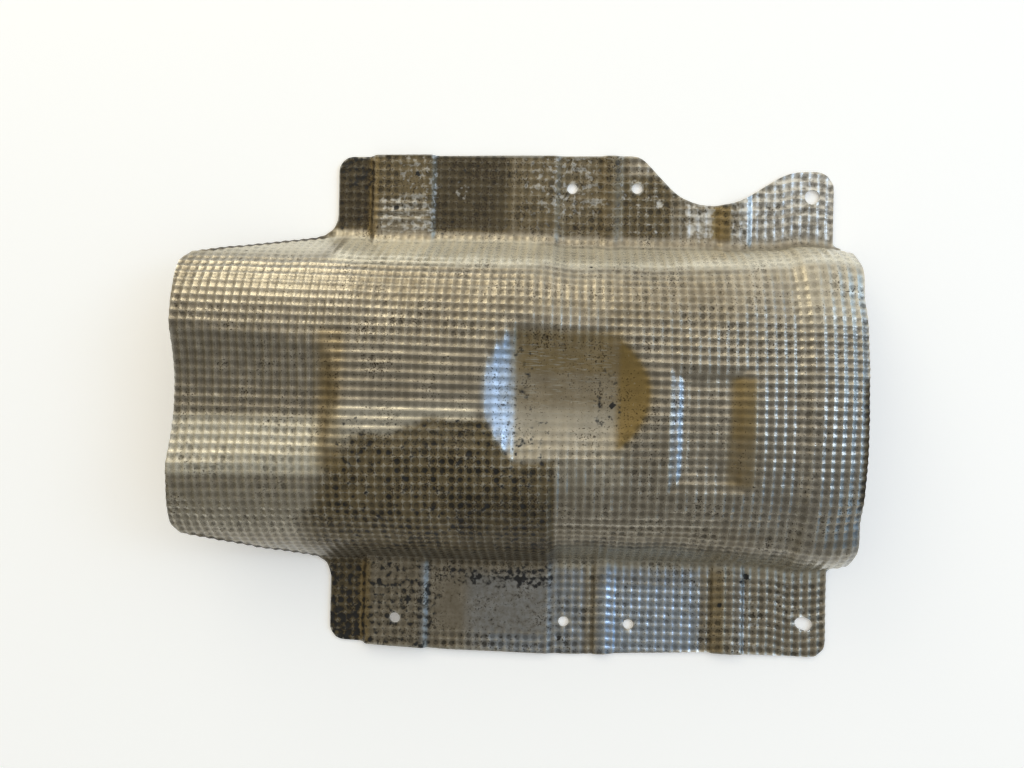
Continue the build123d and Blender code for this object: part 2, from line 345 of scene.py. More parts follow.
def left_end():
    """Left end of the outline, from the upper free edge to the lower one: a round corner on each, joined
    by a hollow arc that touches both."""
    sides = []
    for side, (near, far) in ((1, FREE_EDGE_TOP), (-1, FREE_EDGE_BOTTOM)):
        rise = (near - far) / (FLANGE_START + END)
        normal = np.array([-rise, side]) / sqrt(1 + rise**2)
        centre = np.array([END_CORNER - END, side * (far + (rise - sqrt(1 + rise**2)) * END_CORNER)])
        sides.append((centre, normal))
    (upper, upper_side), (lower, lower_side) = sides
    spread = (upper - lower)[1] / 2
    hollow = (spread**2 + END_BOW**2) / (2 * END_BOW) - END_CORNER
    middle = np.array([END_BOW - END - hollow, (upper + lower)[1] / 2])

    def arc(centre, radius, first, last):
        start, stop = [atan2(*direction[::-1]) for direction in (first, last)]
        sweep = (stop - start + pi) % (2 * pi) - pi
        return arc_points(centre, radius, start, sweep, END_POINTS)

    loop = np.concatenate(
        [
            arc(upper, END_CORNER, upper_side, middle - upper),
            arc(middle, hollow, upper - middle, lower - middle)[1:-1],
            arc(lower, END_CORNER, middle - lower, lower_side),
        ]
    )
    return loop + (0, TUNNEL_Y)


def outline_loops():
    """Closed loops that bound the sheet in plan: its outline, then its holes, each a circle or two half
    circles drawn apart and turned."""
    corners = [
        (FLANGE_START, TUNNEL_Y - FREE_EDGE_BOTTOM[0], FREE_EDGE_CORNER),
        (FLANGE_START, LOWER_TAPER_LEFT - EDGE, FLANGE_CORNER),
        (LOWER_LEVEL[0], -EDGE, LONG_BEND),
        (LOWER_LEVEL[1], -EDGE, LONG_BEND),
        (LOWER_TAPER_STOP, LOWER_TAPER_RIGHT - EDGE, LONG_BEND),
        (FLANGE_STOP, LOWER_TAPER_RIGHT - EDGE, FLANGE_CORNER),
        (FLANGE_STOP, TUNNEL_Y - FOOT_RIGHT - END_NOTCH, END_NOTCH),
        (END, TUNNEL_Y - FOOT_RIGHT + END_NOTCH, END_NOTCH),
        (END, TUNNEL_Y + FOOT_RIGHT - END_NOTCH, END_NOTCH),
        (FLANGE_STOP, TUNNEL_Y + FOOT_RIGHT + END_NOTCH, END_NOTCH),
        (FLANGE_STOP, EAR_EDGE, EAR_CORNER),
        (EAR_START, EAR_EDGE, LONG_BEND),
        (WAIST[1], WAIST_EDGE, LONG_BEND),
        (WAIST[0], WAIST_EDGE, LONG_BEND),
        (UPPER_STOP, EDGE, UPPER_CORNER),
        (FLANGE_START, EDGE, FLANGE_CORNER),
        (FLANGE_START, TUNNEL_Y + FREE_EDGE_TOP[0], FREE_EDGE_CORNER),
    ]
    tip = left_end()
    rest = rounded_loop([(*tip[-1], 0.0), *corners, (*tip[0], 0.0)])
    loops = [np.concatenate([tip, rest[1:-1]])]
    turn = np.linspace(0, 2 * pi, HOLE_SIDES, endpoint=False)
    for x, y, radius, stretch, tilt in HOLES:
        tilt = radians(tilt)
        local_x = radius * np.cos(turn) + stretch * np.sign(np.cos(turn))
        local_y = radius * np.sin(turn)
        hole_x = x + local_x * cos(tilt) - local_y * sin(tilt)
        hole_y = y + local_x * sin(tilt) + local_y * cos(tilt)
        loops.append(np.stack([hole_x, hole_y], 1))
    return loops


def nearest_on_loops(points, loops, rows=8000):
    """For each point: whether it lies inside the loops by the even-odd rule, and the nearest place on them.
    Works on blocks of rows to save memory."""
    first = np.concatenate(loops)
    last = np.concatenate([np.roll(loop, -1, 0) for loop in loops])
    side = last - first
    inside = np.empty(len(points), bool)
    nearest = np.empty_like(points)
    for start in range(0, len(points), rows):
        part = points[start : start + rows]
        away = part[:, None] - first[None]
        share = np.clip((away * side).sum(2) / (side * side).sum(1), 0, 1)
        gap = away - share[..., None] * side
        best = (gap * gap).sum(2).argmin(1)
        nearest[start : start + rows] = part - gap[np.arange(len(part)), best]
        spans = (first[:, 1] > part[:, 1:]) != (last[:, 1] > part[:, 1:])
        rise = np.where(side[:, 1] == 0, 1, side[:, 1])
        crossing = first[:, 0] + away[..., 1] * side[:, 0] / rise
        inside[start : start + rows] = (spans & (part[:, :1] < crossing)).sum(1) % 2 == 1
    return inside, nearest


def length_at(x, y, guess, tries=6, nudge=0.05):
    """Length along the section at which the face reaches y, by Newton steps with a central difference."""
    v = guess.copy()
    for _ in range(tries):
        slope = (section(x, v + nudge)[0] - section(x, v - nudge)[0]) / (2 * nudge)
        v = v - (section(x, v)[0] - y) / slope
    return v


def trimmed_lattice(pitch):
    """Lattice of places (x, length along the section) over the sheet, in equal steps of a pitch. Where a side
    of the lattice crosses the outline, its nearer end is moved onto it. Returns the places and a state for
    each: -1 inside, 0 on the outline, 1 outside."""
    step = pitch / STEPS_IN_PITCH
    half_x = int(END / step) + SPARE_STEPS
    half_v = int((ROOT_PART + EDGE - FOOT_RIGHT) / step) + SPARE_STEPS
    steps = [np.arange(-half, half + 1) * step for half in (half_x, half_v)]
    x, v = np.meshgrid(*steps, indexing="ij")
    plan = np.stack([x, section(x, v)[0]], -1)
    inside, nearest = nearest_on_loops(plan.reshape(-1, 2), outline_loops())
    inside = inside.reshape(x.shape)
    nearest = nearest.reshape(plan.shape)
    gap = np.linalg.norm(nearest - plan, axis=-1)
    moved = np.zeros(x.shape, bool)
    for low, high in ((np.s_[:-1, :], np.s_[1:, :]), (np.s_[:, :-1], np.s_[:, 1:])):
        crossed = inside[low] != inside[high]
        low_nearer = gap[low] <= gap[high]
        moved[low] |= crossed & low_nearer
        moved[high] |= crossed & ~low_nearer
    x[moved] = nearest[moved][:, 0]
    v[moved] = length_at(x[moved], nearest[moved][:, 1], v[moved])
    state = np.where(moved, 0, np.where(inside, -1, 1))
    return x, v, state


def lattice_faces(state, joining):
    """Faces of the trimmed lattice as index arrays, seen from above: quads with no corner outside, triangles
    with one corner outside and, if joining, blocks of two by two inner cells as one face. A joined block
    keeps the middle of a side that meets a block that isn't joined."""
    index = np.arange(state.size).reshape(state.shape)
    corners = (np.s_[:-1, :-1], np.s_[1:, :-1], np.s_[1:, 1:], np.s_[:-1, 1:])
    ids = [index[corner] for corner in corners]
    outside = np.stack([state[corner] > 0 for corner in corners])
    whole = ~outside.any(0)
    rows, columns = np.array(whole.shape) // 2
    free = np.full((rows, columns), joining)
    for i in range(3):
        for j in range(3):
            free &= state[i : i + 2 * rows : 2, j : j + 2 * columns : 2] < 0
    covered = np.zeros(whole.shape, bool)
    covered[: 2 * rows, : 2 * columns] = free.repeat(2, 0).repeat(2, 1)
    faces = [np.stack([corner[whole & ~covered] for corner in ids], 1)]
    for out in range(4):
        alone = outside[out] & (outside.sum(0) == 1)
        faces.append(np.stack([ids[(out + k) % 4][alone] for k in (1, 2, 3)], 1))
    row, column = np.nonzero(free)
    joined = np.pad(free, 1)
    beside = ((1, 0), (2, 1), (1, 2), (0, 1))
    pattern = sum(2**side * ~joined[row + i, column + j] for side, (i, j) in enumerate(beside))
    ring = ((0, 0), (1, 0), (2, 0), (2, 1), (2, 2), (1, 2), (0, 2), (0, 1))
    ring_ids = np.stack([index[2 * row + i, 2 * column + j] for i, j in ring], 1)
    for number in range(16):
        keep = [k for k in range(8) if k % 2 == 0 or number >> (k // 2) & 1]
        faces.append(ring_ids[pattern == number][:, keep])
    return [group for group in faces if len(group)]


def rim_edges(faces):
    """Directed edges that only one face uses, in that face's direction."""
    edges = np.concatenate([np.stack([f, np.roll(f, -1, 1)], -1).reshape(-1, 2) for f in faces])
    span = edges.max() + 1
    ahead = edges[:, 0] * span + edges[:, 1]
    back = edges[:, 1] * span + edges[:, 0]
    return edges[~np.isin(ahead, back)]


def unit_normals(place):
    """Unit normals of a grid of places: the cross product of its two central differences."""
    normal = np.cross(np.gradient(place, axis=0), np.gradient(place, axis=1))
    return normal / np.linalg.norm(normal, axis=-1, keepdims=True)


# Areas of the sheet as (share, ends along X, ends along the section, width of the soft edge). First the waves
# along X and the waves along the section that the press ironed out, then shallower and deeper embossing
IRONED_ALONG = (
    (0.88, -100, -16, -22, 26, 12),
    (0.80, -113, -99, -40, 40, 4),
    (0.50, 84, 96, -30, 30, 8),
    (0.30, 108, 136, -50, 20, 6),
    (0.80, 135, 147, -52, 22, 4),
    (0.70, -94, -57, 142, 158, 5),
    (0.60, -92, -58, -150, -140, 4),
    (1.00, -46, 24, -178, -148, 5),
)
IRONED_ACROSS = (
    (0.65, 22, 54, 52, 104, 14),
    (0.45, -206, -114, 10, 36, 10),
    (0.60, 12, 56, -66, -46, 10),
    (0.92, -214, -40, 104, 134, 18),
    (0.92, -30, 214, 98, 134, 24),
    (0.75, -214, -100, -134, -80, 14),
    (0.75, -100, 214, -134, -92, 14),
    (0.55, 137, 147, -50, 18, 5),
    (1.00, -46, 24, -178, -148, 5),
)
SHALLOW = (
    (0.50, -125, -97, 138, 200, 4),
    (0.10, -93, -58, 138, 162, 4),
    (0.45, -93, -58, 162, 200, 4),
    (0.65, -52, 8, 138, 200, 10),
    (0.50, 8, 70, 138, 200, 6),
    (0.30, 70, 100, 138, 200, 6),
    (0.30, 100, 215, 138, 200, 10),
    (0.20, -215, 40, 66, 100, 20),
    (0.30, -215, 40, 104, 132, 14),
    (0.30, 60, 215, 70, 132, 25),
    (0.55, -120, 215, 125, 140, 6),
    (0.10, -206, -112, -12, 50, 14),
    (0.12, -215, 215, -132, -85, 20),
    (0.45, -125, -48, -200, -138, 5),
    (0.50, -48, 33, -182, -138, 5),
    (0.10, 33, 215, -200, -138, 5),
)
STEEP = (
    (0.60, -206, -116, 4, 44, 10),
    (0.70, 150, 210, -190, -142, 10),
    (0.60, 40, 150, -192, -142, 8),
    (0.80, -104, -18, -27, -4, 8),
    (0.35, -206, -116, -42, -16, 10),
    (0.25, 150, 208, -60, 60, 20),
)
# Wear, dirt and painted shade: fine scratches, brown soil with painted shade among its areas, more of it in
# the dark patch, soil of the flanges, tar, scuffs
SCRATCHED = (
    (0.34, -91, -58, 140, 160, 5),
    (0.12, -91, -58, 160, 195, 5),
    (0.28, 10, 66, -32, 36, 8),
)
# Soil areas, some of them painted shade: the lower flank, the dish's upper slope and right wall, the panel's
# right wall and the lipped end's edge are darkened as shade; the rest darken the upper root and shoulder, the
# left end and the crest with the soil's colours
SOIL_AND_SHADE_AREAS = (
    (0.06, 33, 214, -105, -55, 20),
    (0.22, -214, 214, -98, -84, 10),
    (0.38, 33, 160, -100, -84, 10),
    (0.30, -120, 212, 134, 142, 5),
    (0.25, -214, -201, 50, 120, 10),
    (0.22, 70, 200, 44, 84, 20),
    (0.30, -60, -10, 44, 70, 16),
    (0.25, 4, 74, 4, 40, 15),
    (0.50, 14, 62, 24, 42, 9),
    (0.32, -90, 66, 62, 86, 12),
    (0.42, 66, 130, 56, 90, 14),
    (0.25, 76, 98, -40, 10, 10),
    (0.22, -100, -20, 8, 24, 8),
    (0.32, 138, 147, -48, 18, 5),
    (0.45, 210.5, 214, -70, 70, 1.5),
)
PATCH_SOIL = ((0.30, -22, 30, -100, -60, 14),)
FLANGE_SOIL = (
    (1.55, -125, -99, 130, 200, 3),
    (0.65, -92, -57, 130, 162, 3),
    (1.00, -92, -57, 162, 200, 3),
    (1.50, -52, -8, 130, 200, 14),
    (0.90, 4, 70, 130, 200, 14),
    (1.10, 74, 100, 130, 175, 12),
    (0.55, 104, 150, 130, 165, 10),
    (0.15, 150, 212, 130, 190, 8),
    (1.30, -125, -101, -200, -130, 3),
    (0.55, -101, -48, -200, -130, 3),
    (0.42, -48, 33, -200, -130, 3),
    (0.35, 33, 58, -200, -130, 4),
    (0.35, 130, 215, -200, -130, 4),
    (0.40, 33, 215, -147, -130, 5),
)
TAR_AREAS = (
    (0.27, -100, 24, -112, -14, 12),
    (0.34, -122, -48, -198, -138, 6),
    (0.22, -48, 30, -198, -138, 6),
    (0.20, -125, 70, 138, 198, 6),
    (0.30, 8, 16, -4, 34, 6),
    (0.30, 58, 70, -10, 20, 8),
    (0.46, -122, -97, -198, -170, 9),
    (0.40, -122, -97, -172, -142, 9),
    (0.36, -44, 0, -149, -139, 8),
    (0.45, 0, 29, -149, -139, 8),
    (0.36, -125, -97, 170, 195, 8),
)
SCUFF_AREAS = (
    (0.45, -88, -56, 142, 162, 6),
    (0.34, -74, -54, 160, 194, 6),
    (0.34, 20, 52, 158, 196, 10),
    (0.70, 116, 130, 143, 162, 6),
    (0.70, 152, 164, 156, 168, 6),
    (0.55, 148, 208, 144, 170, 9),
    (0.72, 172, 208, 164, 188, 12),
    (0.20, 6, 30, 150, 190, 12),
    (0.14, 30, 104, 150, 190, 14),
    (0.18, 150, 208, -185, -145, 14),
)
# Tints, all painted light: gold a painted warm reflection and, on the dish's upper slope, painted shade; pale
# a painted highlight; cool a painted cool reflection
# Painted warm reflection on ramps and walls facing -X, and painted shade on the dish's upper slope
PAINTED_GOLD_AREAS = (
    (0.65, 133, 141, 142, 160, 5),
    (0.45, 130, 141, -196, -142, 6),
    (0.45, -111, -102, -38, 38, 8),
    (0.50, 8, 68, 22, 41, 9),
    (0.25, 8, 68, 4, 22, 14),
    (0.62, 138, 147, -18, 17, 5),
    (0.40, 138, 146, -48, -18, 8),
)
# Painted highlight: pale on the upper flank, the lower slopes of the trough and the dish, the crest and the
# lower root, lightened as if lit
PAINTED_PALE_AREAS = (
    (0.70, -214, -128, 110, 126, 24),
    (1.00, -108, 14, 96, 126, 12),
    (0.90, 20, 214, 98, 125, 9),
    (0.12, -200, -120, 64, 92, 14),
    (0.15, 20, 214, 88, 112, 14),
    (0.30, 180, 214, 60, 110, 14),
    (0.80, -214, -116, -40, -16, 10),
    (0.50, -104, -20, -24, -6, 8),
    (0.20, 8, 68, -45, -8, 14),
    (0.55, 40, 214, -136, -108, 12),
    (0.20, -214, -116, -80, -58, 14),
)
# Painted cool reflection from the light at +X, on the flanges and the lipped end
PAINTED_COOL_AREAS = (
    (0.65, 66, 131, -196, -142, 8),
    (0.60, 34, 50, -196, -142, 5),
    (0.12, 150, 205, 142, 185, 12),
    (0.05, 160, 214, -100, 105, 20),
    (0.70, -10, 24, -198, -184, 4),
    (0.35, -20, 30, -190, -148, 12),
)

# Painted reflections on walls that look along X by more than a share: warm gold towards -X, and cool towards
# +X, fading towards the upper flank. The right wall of the dish has its own painted gold reflection
FACING = 0.14
FACING_RUN = 0.22
FACING_BLUR = 3
GOLD_REFLECTION_FACING = 0.55
COOL_REFLECTION_FACING = 0.55
COOL_FADE_START = 55
COOL_FADE_RUN = 40
DISH_GOLD_REFLECTION = 0.85
DISH_GOLD_START = DISH_X + DISH_FLOOR / 2 - 3
DISH_GOLD_RUN = 7

# Round spots as (share, place along X, place along the section, radius): a print on a pad, tar and scuffs
PRINTS = ((1.0, -70, 173, 8),)
TAR_SPOTS = (
    (0.9, 158, -142, 2.0),
    (0.9, 154, -146, 1.2),
    (0.9, 141, -162, 1.5),
    (0.9, 36, -186, 1.6),
    (0.9, 66, 0, 1.9),
    (0.9, -65, 179, 1.6),
    (0.9, -79, 156, 1.4),
    (0.9, 52, 95, 1.2),
    (0.6, -20, -144, 5.0),
    (0.6, 10, -145, 5.0),
    (0.9, -86, -150, 1.6),
    (0.9, -66, -162, 1.8),
    (0.9, 205, -118, 1.4),
)
SCUFF_SPOTS = ((0.38, 13, 174, 8), (0.5, 97, 162, 3), (0.4, 58, 163, 5), (0.3, -36, 166, 7))

# Waves as (height, wavelength along X and along the section, start): dents of the sheet, drift of the
# embossing in pitches and unevenness of its depth
DENTS = ((0.20, 61, 83, 0.4), (0.14, -47, 71, 1.9), (0.09, 38, -29, 4.0), (0.06, 23, 35, 2.2))
DRIFT = ((0.030, 171, 133, 1.1), (0.022, -91, 143, 3.7))
UNEVEN = ((0.14, 13, 29, 0.3), (0.12, -31, 17, 2.9), (0.10, 9, -14, 1.7))
DENT_REACH = sum(wave[0] for wave in DENTS)

# Embossing: gain of a wave where the other one is ironed out, lift of the flanges where it is deeper, and the
# height and run over which the tunnel's dents fade in
GAIN_ALONG = 0.8
GAIN_ACROSS = 0.6
DEEPER_LIFT = 0.6
DENT_FADE = (6, 14)

# Ironing in the dish: depth and run over which it sets in, half length with both walls, fades at its ends and
# at its floor's start, shares ironed out, and the strips below and above that keep more of the embossing
DISH_SET_IN = (0.3, 1.2)
DISH_REACH = 75
DISH_END_FADE = 4
DISH_FLOOR_FADE = 3
DISH_IRONED_ALONG = 0.9
DISH_IRONED_ACROSS = 0.6
DISH_FLOOR_IRONED = 0.92
DISH_KEPT = 0.6
DISH_KEPT_BELOW = (12, 20)
DISH_KEPT_ABOVE = (28, 16)

# Dark patch: a point on its upper line and the line's climb, a point on its left edge with the edge's slant
# and limit, its right end, the runs of these edges, their waver, and the thinner lowest part
PATCH_TOP = (-95, -18)
PATCH_CLIMB = 0.17
PATCH_TOP_RUN = 6
PATCH_LEFT = (-98, -18)
PATCH_SLANT = 0.56
PATCH_LEFT_LIMIT = -130
PATCH_LEFT_LEAD = 10
PATCH_LEFT_RUN = 26
PATCH_STOP = STEP_START + 5
PATCH_STOP_RUN = 3
PATCH_WAVER = 14
PATCH_THINNING = 0.4
PATCH_THIN_START = 98
PATCH_THIN_RUN = 16

# Painted shade: a dark line along the free edges of the left end and the middle of the lipped end, where the
# edge lies in shade. Its amount on the soil cover, its width in plan, and the ends and fade of each stretch
EDGE_SHADE = 1.8
EDGE_LINE = 1.2
FREE_LINE_ENDS = (-190, -136)
FREE_LINE_FADE = 22
LIP_LINE_ENDS = (-50, 16)
LIP_LINE_FADE = 8

# Dish as a place that keeps the dark patch out and takes a painted gold reflection on its right wall: depth
# and run where it sets in, and a start that keeps the trough out
DISH_COVER = (0.2, 1.0)
DISH_COVER_START = DISH_X - 80

# Soil of the flanges: it sets in near the roots, which it follows with a shift to the upper side
FLANGE_SOIL_SHIFT = 4
FLANGE_SOIL_START = ROOT_PART - 6
FLANGE_SOIL_RUN = 7

# Share of the pits that is lost where the waves along X, those along the section, and both are ironed out
PIT_LOSS_ALONG = 0.4
PIT_LOSS_ACROSS = 0.2
PIT_LOSS_BOTH = 0.4

# Underside: even soil, a little of the pale tint, and half of the upper face's wear and relief
UNDER_DIRT = (0.3, 0.0, 0.0)
UNDER_TINT = (0.0, 0.2, 0.0)
UNDER_SHARE = 0.5


def soft_areas(x, v, areas):
    """Largest cover of the areas at each place: share times a box with cosine edges."""
    cover = np.zeros_like(x)
    for share, low_x, high_x, low_v, high_v, soft in areas:
        cover = np.maximum(cover, share * window(x, low_x, high_x, soft) * window(v, low_v, high_v, soft))
    return cover


def soft_spots(x, v, spots):
    """Largest cover of the round spots at each place: share in the inner half, falling over a radius."""
    cover = np.zeros_like(x)
    for share, middle_x, middle_v, radius in spots:
        away = np.hypot(x - middle_x, v - middle_v)
        cover = np.maximum(cover, share * (1 - eased(away, radius / 2, radius)))
    return cover


def wavering(x, v, waves):
    """Sum of sine waves that cross the sheet at different slants."""
    total = np.zeros_like(x)
    for size, along, across, start in waves:
        total = total + size * np.sin(2 * pi * (x / along + v / across) + start)
    return total


def blurred(values, reach):
    """Mean of each place and its neighbours along X up to a number of lattice steps away."""
    return sum(np.roll(values, step, 0) for step in range(-reach, reach + 1)) / (2 * reach + 1)


def ironing(x, v, sunk):
    """Share of the embossing that the press ironed out: waves along X, then waves along the section. Each is
    the largest of its areas, the prints and the dish, which is told by how far the face is sunk."""
    dish = eased(sunk, *DISH_SET_IN) * window(x, DISH_X - DISH_REACH, DISH_X + DISH_REACH, DISH_END_FADE)
    dish_floor = dish * window(x, DISH_X - DISH_FLOOR / 2, DISH_X + DISH_REACH, DISH_FLOOR_FADE)
    below = 1 - DISH_KEPT * eased(-v, *DISH_KEPT_BELOW)
    above = 1 - DISH_KEPT * eased(v, *DISH_KEPT_ABOVE)
    dish_along = DISH_IRONED_ALONG * dish * below * above
    dish_across = np.maximum(DISH_IRONED_ACROSS * dish, DISH_FLOOR_IRONED * dish_floor * below)
    prints = soft_spots(x, v, PRINTS)
    along = np.maximum.reduce([soft_areas(x, v, IRONED_ALONG), dish_along, prints])
    across = np.maximum.reduce([soft_areas(x, v, IRONED_ACROSS), dish_across, prints])
    return along, across


def embossing(x, v, z, phases, ironed, deep, pit_to_boss):
    """Height of the embossed face above the formed one, along its normal: half the height from pit to boss,
    plus a quarter of it times the sum of a cosine wave along X and one along the section. A wave is higher
    where the other one is ironed out. Dents waver over the tunnel, and on the flanges they only lift."""
    along, across = ironed
    steep = deep * (1 + soft_areas(x, v, STEEP))
    wave_x = np.cos(2 * pi * phases[0]) * (1 - along) * (1 + GAIN_ALONG * across) * steep
    wave_v = np.cos(2 * pi * phases[1]) * (1 - across) * (1 + GAIN_ACROSS * along) * steep
    height = pit_to_boss * (0.5 + (wave_x + wave_v) / 4 * (1 + wavering(x, v, UNEVEN)))
    dents = wavering(x, v, DENTS)
    lift = (dents + DENT_REACH) / 2 + DEEPER_LIFT * (steep - deep)
    return height + np.where(np.abs(v) < ROOT_PART, dents * eased(z, *DENT_FADE), lift)


def soil_patch(x, v):
    """Cover of the dark patch on the lower side of the tunnel: below a line that climbs from the trough's end
    to the dish, fading to the left along a slanted edge and ending sharply at the cross step."""
    shift = PATCH_WAVER * wavering(x, v, DENTS)
    top = PATCH_TOP[1] + PATCH_CLIMB * (x - PATCH_TOP[0]) + shift
    left = np.maximum(PATCH_LEFT[0] + PATCH_SLANT * (v - PATCH_LEFT[1]), PATCH_LEFT_LIMIT) + shift
    cover = 1 - PATCH_THINNING * eased(-v, PATCH_THIN_START, PATCH_THIN_RUN)
    cover = cover * eased(top - v, 0, PATCH_TOP_RUN) * eased(x, left - PATCH_LEFT_LEAD, PATCH_LEFT_RUN)
    return cover * (1 - eased(x, PATCH_STOP, PATCH_STOP_RUN)) * (v > -ROOT_PART)


def edge_shade_cover(x, y):
    """Cover of the painted shade along the free edges of the left end and along the middle of the lipped end:
    1 at the edge, falling inwards."""
    cover = np.zeros_like(x)
    for side, (near, far) in ((1, FREE_EDGE_TOP), (-1, FREE_EDGE_BOTTOM)):
        edge = far + (near - far) * (x + END) / (FLANGE_START + END)
        inwards = edge - side * (y - TUNNEL_Y)
        cover = np.maximum(cover, 1 - eased(inwards, EDGE_LINE, EDGE_LINE))
    lipped = eased(x, END - 2 * EDGE_LINE, EDGE_LINE) * window(y, *LIP_LINE_ENDS, LIP_LINE_FADE)
    return np.maximum(cover * window(x, *FREE_LINE_ENDS, FREE_LINE_FADE), lipped)


def surface_marks(x, v, y, sunk, normal, on_rim, ironed, deep):
    """Covers that the finish reads, three in a vector, as a pair for the upper face and the underside.
    Relief: what is left of each wave. Wear: scratches, pits and bare rim. Dirt and shade: brown grime with
    painted shade among its areas, tar and scuffs. Tint: painted light, as gold and cool reflections and pale
    highlights, with painted shade in the dish's gold. Each cover is the largest of its areas, spots and
    walls."""
    along, across = ironed
    relief = np.stack([(1 - along) * deep, (1 - across) * deep, np.zeros_like(x)], -1)
    # Painted shade along the edges, which darkens the sheet through the soil cover
    line = edge_shade_cover(x, y)
    pits = np.clip(1 - PIT_LOSS_ALONG * along - across * (PIT_LOSS_ACROSS + PIT_LOSS_BOTH * along), 0, 1)
    bare = np.where(on_rim, 1 - line, 0.0)
    wear = np.stack([soft_areas(x, v, SCRATCHED), pits * np.sqrt(deep), bare], -1)

    dish = eased(sunk, *DISH_COVER) * (x > DISH_COVER_START)
    beside_root = eased(np.abs(v - FLANGE_SOIL_SHIFT), FLANGE_SOIL_START, FLANGE_SOIL_RUN)
    flange = soft_areas(x, v, FLANGE_SOIL) * beside_root
    patch = soil_patch(x, v) * (1 - dish) * (1 + soft_areas(x, v, PATCH_SOIL))
    # Soil cover, with the painted shade of the edges and of the shaded areas in it
    soil_and_shade = np.maximum.reduce([soft_areas(x, v, SOIL_AND_SHADE_AREAS), flange, patch, EDGE_SHADE * line])
    tar = np.maximum(soft_areas(x, v, TAR_AREAS), soft_spots(x, v, TAR_SPOTS))
    scuff = np.maximum(soft_areas(x, v, SCUFF_AREAS), soft_spots(x, v, SCUFF_SPOTS))
    dirt_and_shade = np.stack([soil_and_shade, tar, scuff], -1)

    # Painted reflections by how a wall faces along X: warm gold towards -X, cool towards +X
    facing = blurred(normal[..., 0], FACING_BLUR)
    dish_gold_reflection = DISH_GOLD_REFLECTION * dish * eased(x, DISH_GOLD_START, DISH_GOLD_RUN)
    gold = GOLD_REFLECTION_FACING * eased(-facing, FACING, FACING_RUN)
    gold = np.maximum.reduce([soft_areas(x, v, PAINTED_GOLD_AREAS), gold, dish_gold_reflection])
    cool = COOL_REFLECTION_FACING * eased(facing, FACING, FACING_RUN) * (1 - eased(v, COOL_FADE_START, COOL_FADE_RUN))
    cool = np.maximum(soft_areas(x, v, PAINTED_COOL_AREAS), cool)
    tint = np.stack([gold, soft_areas(x, v, PAINTED_PALE_AREAS), cool], -1)
    return {
        "relief": (relief, UNDER_SHARE * relief),
        "wear": (wear, UNDER_SHARE * wear),
        "dirt_and_shade": (dirt_and_shade, np.broadcast_to(UNDER_DIRT, dirt_and_shade.shape)),
        "tint": (tint, np.broadcast_to(UNDER_TINT, tint.shape)),
    }


# Layout for baking: start and width of the upper face and of the underside across the map, and the gap at
# its rims
BAKE_UPPER = (0.01, 0.63)
BAKE_UNDER = (0.66, 0.33)
BAKE_GAP = 0.01

# Edges are sharp where their faces meet at more than this
SHARP_FROM = radians(65.0)


def bake_corners(x, v, top_faces, under_faces, rim):
    """Places of the faces' corners on the map for baking: length along the section goes across and X goes up,
    for the upper face and for the underside; the cut edge is a strip as wide as the sheet is thick, laid
    outside the upper face's rim."""
    flat = np.stack([v.ravel(), x.ravel()], 1)
    low = flat.min(0)
    span = flat.max(0) - low

    def laid(place, start, width):
        return (start, BAKE_GAP) + (place - low) / span * (width, 1 - 2 * BAKE_GAP)

    first, last = flat[rim[:, 0]], flat[rim[:, 1]]
    ahead = (last - first) / np.linalg.norm(last - first, axis=1, keepdims=True)
    outward = np.stack([-ahead[:, 1], ahead[:, 0]], 1) * SHEET
    strip = np.stack([last, first, first + outward, last + outward], 1).reshape(-1, 2)
    corners = [laid(flat[group.ravel()], *BAKE_UPPER) for group in top_faces]
    corners += [laid(flat[group[:, ::-1].ravel()], *BAKE_UNDER) for group in under_faces]
    return np.concatenate([*corners, laid(strip, *BAKE_UPPER)])


def mesh_from_arrays(name, places, faces, attributes, corners):
    """Mesh from places in millimetres and groups of faces, without places that no face uses, with the faces'
    corners laid out for baking."""
    used = np.unique(np.concatenate([group.ravel() for group in faces]))
    renumber = np.full(len(places), -1)
    renumber[used] = np.arange(len(used))
    mesh = bpy.data.meshes.new(name)
    polygons = [face for group in faces for face in renumber[group].tolist()]
    mesh.from_pydata((places[used] * MM).tolist(), [], polygons)
    for label, values in attributes.items():
        values = values.reshape(len(places), 3)[used]
        attribute = mesh.attributes.new(label, "FLOAT_VECTOR", "POINT")
        attribute.data.foreach_set("vector", values.ravel().astype(np.float32))
    mesh.uv_layers.new(name="OFBake").data.foreach_set("uv", corners.ravel().astype(np.float32))
    mesh.polygons.foreach_set("use_smooth", np.ones(len(mesh.polygons), bool))
    mesh.set_sharp_from_angle(angle=SHARP_FROM)
    mesh.update()
    return mesh


def link(node, links):
    """Links a node's inputs: each pair gives an input and the output that it takes, or the node whose first
    output it takes."""
    for name, source in links:
        output = source.outputs[0] if isinstance(source, bpy.types.Node) else source
        node.id_data.links.new(output, node.inputs[name])


def add_node(nodes, kind, links=(), **settings):
    """Adds a shader node with links to its inputs: settings name its properties, or its inputs by their names
    or, after an underscore, their numbers."""
    node = nodes.new("ShaderNode" + kind)
    for name, value in settings.items():
        if hasattr(node, name):
            setattr(node, name, value)
        else:
            node.inputs[int(name[1:]) if name[0] == "_" else name.replace("_", " ")].default_value = value
    link(node, links)
    return node


